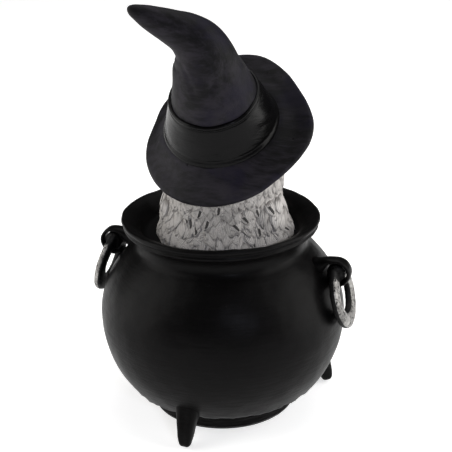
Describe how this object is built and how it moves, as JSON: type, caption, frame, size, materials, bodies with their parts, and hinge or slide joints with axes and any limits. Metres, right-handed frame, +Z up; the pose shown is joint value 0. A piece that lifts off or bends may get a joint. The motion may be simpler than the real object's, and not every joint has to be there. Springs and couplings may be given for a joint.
{
  "type": "owl in witch's cauldron figurine",
  "caption": "Cast figurine of an owl in a tall bent witch's hat, standing in a footed cauldron with swinging drop rings on its sides.",
  "frame": {"origin": "on the ground under the cauldron's axis, at the centre of the felt pad's underside", "axes": "+Z up along the cauldron's axis; -Y is the way the owl faces; +X is the owl's left, where the left drop ring hangs"},
  "size_m": [0.1358, 0.1242, 0.2086],
  "materials": {
    "cauldron_black": "satin black paint on cast resin",
    "ring_silver": "silver paint dry-brushed over black",
    "hat_slate": "matt slate paint, brushed on",
    "band_black": "gloss black enamel",
    "feather_white": "matt warm white with a dark wash in the grooves",
    "wing_grey": "matt warm grey with a dark wash in the grooves",
    "beak_horn": "satin horn paint",
    "eye_amber": "gloss varnish over amber and black",
    "pin_steel": "plain drawn wire",
    "felt_black": "self-adhesive felt"
  },
  "bodies": {
    "root": {"cauldron_shell": "cauldron_black", "cauldron_rim": "cauldron_black", "base_plinth": "cauldron_black", "felt_pad": "felt_black", "foot_back": "cauldron_black", "foot_front_left": "cauldron_black", "foot_front_right": "cauldron_black", "foot_pins": "pin_steel", "lug_left": "cauldron_black", "lug_right": "cauldron_black", "lug_pins": "pin_steel", "owl_torso": "feather_white", "owl_head": "feather_white", "wing_left": "wing_grey", "wing_right": "wing_grey", "beak": "beak_horn", "eye_left": "eye_amber", "eye_right": "eye_amber", "neck_dowel": "pin_steel", "hat_crown": "hat_slate", "hat_brim": "hat_slate", "hat_band": "band_black", "hat_dowel": "pin_steel"},
    "ring_left": {"ring_left": "ring_silver"},
    "ring_right": {"ring_right": "ring_silver"}
  },
  "joints": [
    {"name": "ring_left_swing", "type": "hinge", "parent": "root", "child": "ring_left", "pos_m": [0.0579, 0, 0.08], "axis": [0, -1, 0], "range_deg": [0, 180]},
    {"name": "ring_right_swing", "type": "hinge", "parent": "root", "child": "ring_right", "pos_m": [-0.0588, 0, 0.0762], "axis": [0, 1, 0], "range_deg": [0, 180]}
  ]
}
